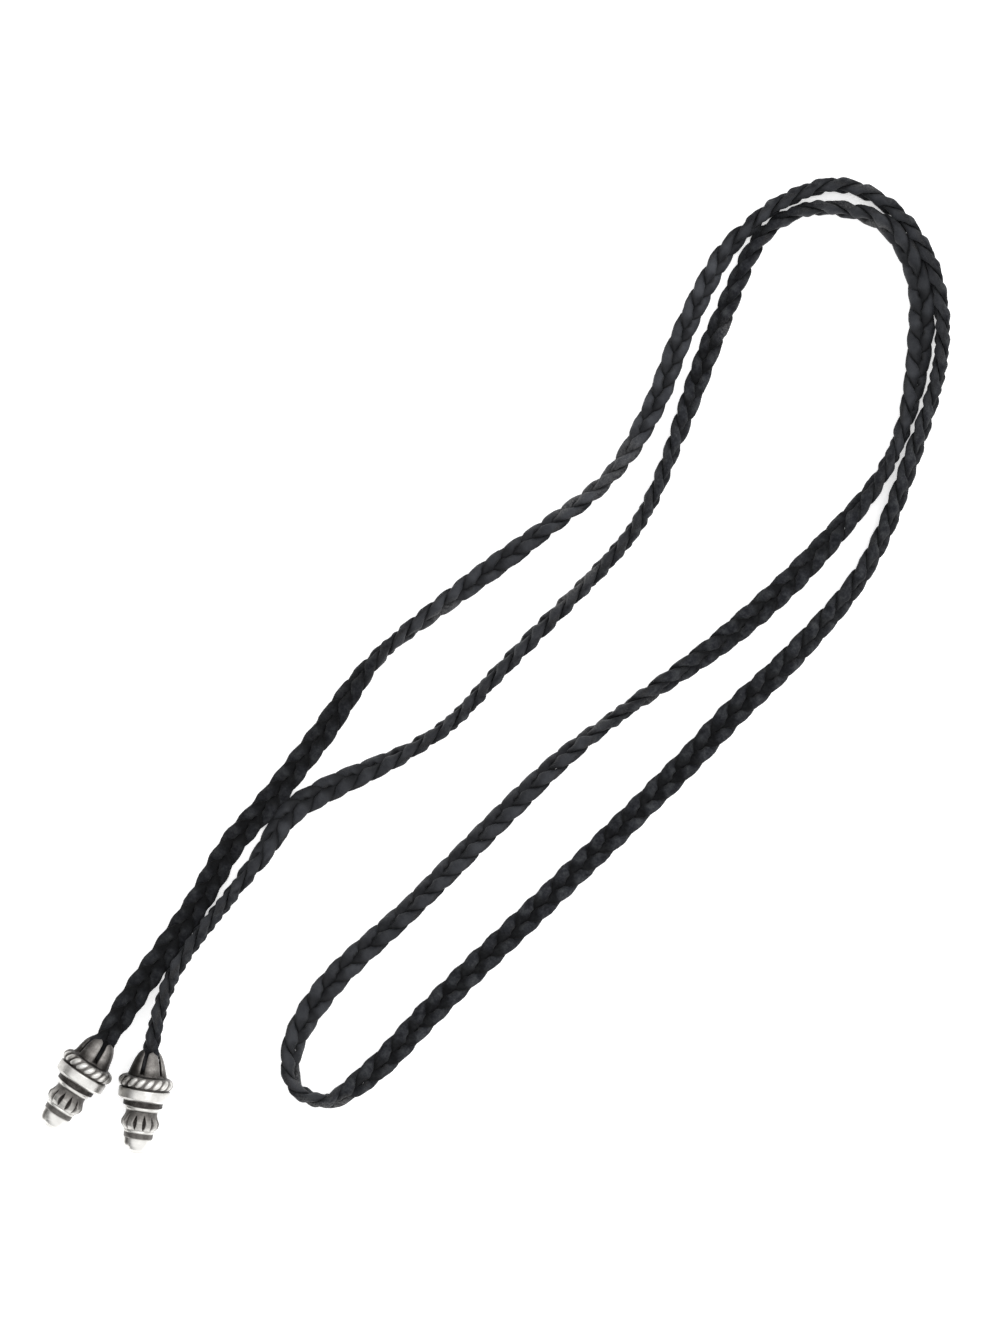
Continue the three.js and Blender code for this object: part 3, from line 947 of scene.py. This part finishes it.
# Noises of the leather: features to a metre, detail and roughness
PATCHES = (420.0, 3.0, 0.55)
BLOTCHES = (600.0, 2.0, 0.55)
MOTTLE = (1900.0, 5.0, 0.65)
NAP = (7000.0, 4.0, 0.7)
WEAR = (150.0, 2.0, 0.55)
BLOTCH_SHARE = 0.6  # of the suede's clouds, whose rest is mottle
PEBBLES_TO_A_METRE = 3600.0
PEBBLE_SMOOTHNESS = 0.6

# Colours of the leather from its darkest spots to its lightest, with their places in the noise that
# picks them
GRAIN_TONES = [(0.30, (0.0172, 0.0183, 0.0216)), (0.70, (0.0320, 0.0336, 0.0380))]
SUEDE_TONES = [
    (0.37, (0.0060, 0.0065, 0.0086)),
    (0.50, (0.0176, 0.0187, 0.0220)),
    (0.63, (0.0345, 0.0366, 0.0392)),
]
FUZZ_TONES = [(0.45, (0.0090, 0.0092, 0.0100)), (0.75, (0.0720, 0.0710, 0.0720))]
PALE_TONES = [(0.35, (0.0250, 0.0255, 0.0270)), (0.70, (0.1750, 0.1730, 0.1720))]

# Levels that a noise picks in the same way
NAP_LIGHT = [(0.32, 0.55), (0.68, 1.45)]
EDGE_WEAR = [(0.42, 0.30), (0.62, 1.0)]
SPOT_PATCHES = [(0.40, 0.10), (0.60, 1.0)]  # on the pale spots of fuzz and painted highlight
GRAIN_ROUGHNESS = [(0.2, 0.50), (0.8, 0.66)]
SUEDE_ROUGHNESS = [(0.2, 0.82), (0.8, 0.95)]

# Fine relief of the leather, and folds across a lace. A bump has a strength and a depth
FINE_BUMP = (0.75, 0.09 * MM)
NAP_HEIGHT = 1.6  # on the suede side; the grain side has 1 less
FOLD_BUMP = (0.6, 0.20 * MM)
FOLDS_ALONG = 2.2  # to a millimetre of the lace's length
FOLDS_ACROSS = 0.55  # to a millimetre of its width
FOLD_DETAIL = 3.0
FOLD_LEAST = 0.35  # depth where the lace runs straight

# Gloss of the leather
LEATHER_SHINE = 0.13
LEATHER_SHEEN = 0.03
SHEEN_ROUGHNESS = 0.5


def leather_height(tree, grain_side, pebble, nap):
    """Height of the leather's fine surface: pebbles on the grain side, nap on the suede side."""
    grain_height = calculate(tree, (-900, -1150), "MULTIPLY", pebble, grain_side)
    suede_side = calculate(tree, (-1000, -1400), "SUBTRACT", NAP_HEIGHT, grain_side)
    nap_height = calculate(tree, (-900, -1300), "MULTIPLY", nap, suede_side)
    return calculate(tree, (-700, -1150), "ADD", grain_height, nap_height)


def fold_height(tree):
    """Height of the folds that run across a lace, deepest where it turns at the plait's edge."""
    along = attribute(tree, (-1800, -850), "along")
    across = attribute(tree, (-1800, -1000), "across")
    lace_place = node_of(tree, "ShaderNodeCombineXYZ", (-1400, -850))
    folds_along = calculate(tree, (-1600, -850), "MULTIPLY", along, FOLDS_ALONG)
    folds_across = calculate(tree, (-1600, -1000), "MULTIPLY", across, FOLDS_ACROSS)
    tree.links.new(folds_along, lace_place.inputs["X"])
    tree.links.new(folds_across, lace_place.inputs["Y"])
    folds = node_of(tree, "ShaderNodeTexNoise", (-1200, -850), noise_dimensions="2D")
    folds.inputs["Scale"].default_value = 1.0
    folds.inputs["Detail"].default_value = FOLD_DETAIL
    tree.links.new(lace_place.outputs["Vector"], folds.inputs["Vector"])
    turn = attribute(tree, (-1200, -1050), "turn")
    depth = calculate(tree, (-1000, -1050), "ADD", turn, FOLD_LEAST)
    return calculate(tree, (-900, -950), "MULTIPLY", folds.outputs["Fac"], depth)


def leather_material():
    """Black lace leather: a pebbled grain side, a blotchy napped suede side and fuzzy cut edges."""
    material, tree, shader = new_material("black_lace_leather")
    where = node_of(tree, "ShaderNodeTexCoord", (-1400, 0)).outputs["Object"]
    grain_side = attribute(tree, (-1200, 500), "grain")
    patches = noise(tree, (-1200, 0), where, PATCHES)
    blotches = noise(tree, (-1200, -100), where, BLOTCHES)
    mottle = noise(tree, (-1200, -200), where, MOTTLE)
    nap = noise(tree, (-1200, -400), where, NAP)
    wear = noise(tree, (-1200, -500), where, WEAR)
    pebbles = node_of(tree, "ShaderNodeTexVoronoi", (-1200, -600), feature="SMOOTH_F1")
    pebbles.inputs["Scale"].default_value = PEBBLES_TO_A_METRE
    pebbles.inputs["Smoothness"].default_value = PEBBLE_SMOOTHNESS
    tree.links.new(where, pebbles.inputs["Vector"])

    # Colour: the two sides, then frayed edges, painted shade in the creases, and pale spots that
    # are partly worn fuzz and partly painted highlight
    smooth_tone = ramp(tree, (-900, 100), patches, GRAIN_TONES)
    coarse = calculate(tree, (-1050, -100), "MULTIPLY", blotches, BLOTCH_SHARE)
    cloudy = calculate(tree, (-1050, -200), "MULTIPLY_ADD", mottle, 1.0 - BLOTCH_SHARE, coarse)
    cloudy_tone = ramp(tree, (-900, -150), cloudy, SUEDE_TONES)
    nap_light = level_ramp(tree, (-900, -250), nap, NAP_LIGHT)
    suede_tone = multiply_colours(tree, (-750, -150), cloudy_tone, nap_light)
    sides = mix_colour(tree, (-600, 100), grain_side, suede_tone, smooth_tone)
    fuzz_tone = ramp(tree, (-900, -350), nap, FUZZ_TONES)
    worn = level_ramp(tree, (-900, -450), wear, EDGE_WEAR)
    edge = attribute(tree, (-1200, 350), "edge")
    fray = calculate(tree, (-700, -350), "MULTIPLY", edge, worn)
    frayed = mix_colour(tree, (-450, 100), fray, sides, fuzz_tone)
    # Painted shade of the creases, with each lace's random tone and its darker or lighter stretches
    shade = attribute(tree, (-1200, 650), "shade")
    shaded = multiply_colours(tree, (-250, 100), frayed, shade)
    # Pale spots, partly worn fuzz and partly painted highlight, broken up by the mottle
    spot_patches = level_ramp(tree, (-900, 700), mottle, SPOT_PATCHES)
    fuzz_and_highlight = attribute(tree, (-1200, 800), "fuzz_and_highlight")
    fuzz_and_highlight_share = calculate(tree, (-600, 700), "MULTIPLY", fuzz_and_highlight, spot_patches)
    pale_tone = ramp(tree, (-900, 900), nap, PALE_TONES)
    colour = mix_colour(tree, (-100, 300), fuzz_and_highlight_share, shaded, pale_tone)
    tree.links.new(colour, shader.inputs["Base Color"])

    smooth_rough = level_ramp(tree, (-900, -550), mottle, GRAIN_ROUGHNESS)
    suede_rough = level_ramp(tree, (-900, -750), nap, SUEDE_ROUGHNESS)
    rough = mix_colour(tree, (-600, -550), grain_side, suede_rough, smooth_rough)
    tree.links.new(rough, shader.inputs["Roughness"])

    fine_height = leather_height(tree, grain_side, pebbles.outputs["Distance"], nap)
    fine = bump(tree, (-350, -700), FINE_BUMP, fine_height)
    folded = bump(tree, (-150, -700), FOLD_BUMP, fold_height(tree))
    tree.links.new(fine.outputs["Normal"], folded.inputs["Normal"])
    tree.links.new(folded.outputs["Normal"], shader.inputs["Normal"])

    shader.inputs["Specular IOR Level"].default_value = LEATHER_SHINE
    shader.inputs["Sheen Weight"].default_value = LEATHER_SHEEN
    shader.inputs["Sheen Roughness"].default_value = SHEEN_ROUGHNESS
    return material


# Noises of the silver: features to a metre, detail and roughness
CLOUDS = (900.0, 5.0, 0.6)
SPECKLES = (5200.0, 4.0, 0.65)
PITS = (14000.0, 3.0, 0.6)
CLOUD_PATINA = 0.34  # what separates the darkest cloud from the lightest
SPECKLE_PATINA = 0.30  # the same for speckles
PIT_HEIGHT = 0.5  # where the speckles have 1
SILVER_BUMP = (0.18, 0.05 * MM)

# Colour and roughness of the silver, by its patina
SILVER_TONES = [
    (0.05, (0.74, 0.73, 0.705)),
    (0.35, (0.46, 0.45, 0.43)),
    (0.65, (0.165, 0.156, 0.148)),
    (0.95, (0.032, 0.029, 0.027)),
]
SILVER_ROUGHNESS = [(0.0, 0.28), (0.4, 0.36), (1.0, 0.52)]


def silver_material():
    """Cast silver: polished on the high spots, black in the recesses, with specks and fine pits."""
    material, tree, shader = new_material("oxidised_cast_silver")
    where = node_of(tree, "ShaderNodeTexCoord", (-1400, 0)).outputs["Object"]
    # The patina attribute also holds a painted dark reflection on the dome and painted shade on one
    # flank
    patina = attribute(tree, (-1200, 300), "patina")
    clouds = noise(tree, (-1200, 100), where, CLOUDS)
    speckles = noise(tree, (-1200, -100), where, SPECKLES)
    pits = noise(tree, (-1200, -300), where, PITS)

    # Half of each amount is taken off, so that the noises change the patina both ways
    clouded = (clouds, CLOUD_PATINA, -CLOUD_PATINA / 2)
    speckled = (speckles, SPECKLE_PATINA, -SPECKLE_PATINA / 2)
    stained = calculate(tree, (-1000, 200), "MULTIPLY_ADD", *clouded)
    spotted = calculate(tree, (-1000, 0), "MULTIPLY_ADD", *speckled)
    change = calculate(tree, (-900, 100), "ADD", stained, spotted)
    dark = calculate(tree, (-800, 200), "ADD", patina, change)
    colour = ramp(tree, (-600, 200), dark, SILVER_TONES)
    tree.links.new(colour, shader.inputs["Base Color"])
    rough = level_ramp(tree, (-600, -100), dark, SILVER_ROUGHNESS)
    tree.links.new(rough, shader.inputs["Roughness"])

    pit_height = calculate(tree, (-900, -400), "MULTIPLY", pits, PIT_HEIGHT)
    height = calculate(tree, (-800, -300), "ADD", speckles, pit_height)
    relief = bump(tree, (-300, -300), SILVER_BUMP, height)
    tree.links.new(relief.outputs["Normal"], shader.inputs["Normal"])
    shader.inputs["Metallic"].default_value = 1.0
    return material


# The paper that the necklace lies on
FLOOR_HALF = 8.0  # half of its side
FLOOR_HEIGHT = -0.02 * MM  # a little low, so that it shares no face with the pressed laces
PAPER_FIBRES = (300.0, 4.0, 0.55)
PAPER_TONES = [(0.2, 0.90), (0.8, 0.93)]
PAPER_ROUGHNESS = 0.9
PAPER_SHINE = 0.1
PAPER_GLOW = 0.45


def floor_material():
    """Plain white matt paper, lit a little from below as on a light table."""
    material, tree, shader = new_material("white_paper")
    where = node_of(tree, "ShaderNodeTexCoord", (-900, 0)).outputs["Object"]
    fibres = noise(tree, (-700, 0), where, PAPER_FIBRES)
    tone = level_ramp(tree, (-450, 0), fibres, PAPER_TONES)
    tree.links.new(tone, shader.inputs["Base Color"])
    shader.inputs["Roughness"].default_value = PAPER_ROUGHNESS
    shader.inputs["Specular IOR Level"].default_value = PAPER_SHINE
    shader.inputs["Emission Color"].default_value = (1.0, 1.0, 1.0, 1.0)
    shader.inputs["Emission Strength"].default_value = PAPER_GLOW
    return material


def make_floor():
    """A wide sheet of paper under the necklace."""
    square = [(-1, -1), (1, -1), (1, 1), (-1, 1)]
    corners = np.array([(FLOOR_HALF * x, FLOOR_HALF * y, FLOOR_HEIGHT) for x, y in square])
    floor = mesh_object("floor", corners, [[0, 1, 2, 3]], {})
    floor.data.materials.append(floor_material())


# The lamp above the necklace, and the room round it
LAMP_SIDE = 1.7
LAMP_POWER = 13.0  # in watts
LAMP_PLACE = RIGHT * 0.65 + AHEAD * 0.55 + UP * 1.75
ROOM_BRIGHTEST = RIGHT * 0.6 + UP * 0.8  # direction in which the room is brightest
ROOM_LIGHT = [(0.27, 0.10), (0.50, 0.55), (0.62, 1.0)]  # from the opposite direction to that one
ROOM_STRENGTH = 1.25


def make_light():
    """A wide soft lamp above and to the right, and a pale room that is darker to the left."""
    lamp = bpy.data.lights.new("soft_lamp", "AREA")
    lamp.shape = "RECTANGLE"
    lamp.size = LAMP_SIDE
    lamp.size_y = LAMP_SIDE
    lamp.energy = LAMP_POWER
    holder = bpy.data.objects.new("soft_lamp", lamp)
    holder.location = LAMP_PLACE
    holder.rotation_mode = "QUATERNION"
    holder.rotation_quaternion = (-LAMP_PLACE).to_track_quat("-Z", "Y")
    bpy.context.scene.collection.objects.link(holder)

    world = bpy.data.worlds.new("pale_room")
    world.use_nodes = True
    tree = world.node_tree
    backdrop = tree.nodes["Background"]
    where = node_of(tree, "ShaderNodeTexCoord", (-900, 0)).outputs["Generated"]
    towards = node_of(tree, "ShaderNodeVectorMath", (-700, 0), operation="DOT_PRODUCT")
    towards.inputs[1].default_value = ROOM_BRIGHTEST
    tree.links.new(where, towards.inputs[0])
    # The product goes from -1 to 1, and the ramp from 0 to 1
    share = calculate(tree, (-500, 0), "MULTIPLY_ADD", towards.outputs["Value"], 0.5, 0.5)
    light = level_ramp(tree, (-300, 0), share, ROOM_LIGHT)
    tree.links.new(light, backdrop.inputs["Color"])
    backdrop.inputs["Strength"].default_value = ROOM_STRENGTH
    bpy.context.scene.world = world


def make_camera():
    """Straight above, with a long lens, framed as the photograph is."""
    lens = bpy.data.cameras.new("overhead")
    lens.sensor_width = SENSOR
    lens.lens = SENSOR * CAMERA_DISTANCE / VIEW_HEIGHT
    lens.clip_end = CAMERA_REACH
    camera = bpy.data.objects.new("overhead", lens)
    camera.location = (*VIEW_CENTRE, CAMERA_DISTANCE)
    camera.rotation_euler = (0.0, 0.0, VIEW_TURN)
    bpy.context.scene.collection.objects.link(camera)
    bpy.context.scene.camera = camera


def finish_piece(piece, material, node):
    """Gives a piece its material, hangs it under the root body and hides the solid that it stands
    for.
    """
    piece.data.materials.append(material)
    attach(piece, "root")
    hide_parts(node)


make_camera()
plait = Plait()
leather = leather_material()
for number in range(LACES):
    finish_piece(lace_mesh(plait, number), leather, f"strand_{number + 1}")
silver = silver_material()
finish_piece(cap_mesh("cap_a", CAP_A), silver, "end_cap_a")
finish_piece(cap_mesh("cap_b", CAP_B), silver, "end_cap_b")
make_floor()
make_light()
bpy.context.scene.view_settings.view_transform = "Standard"
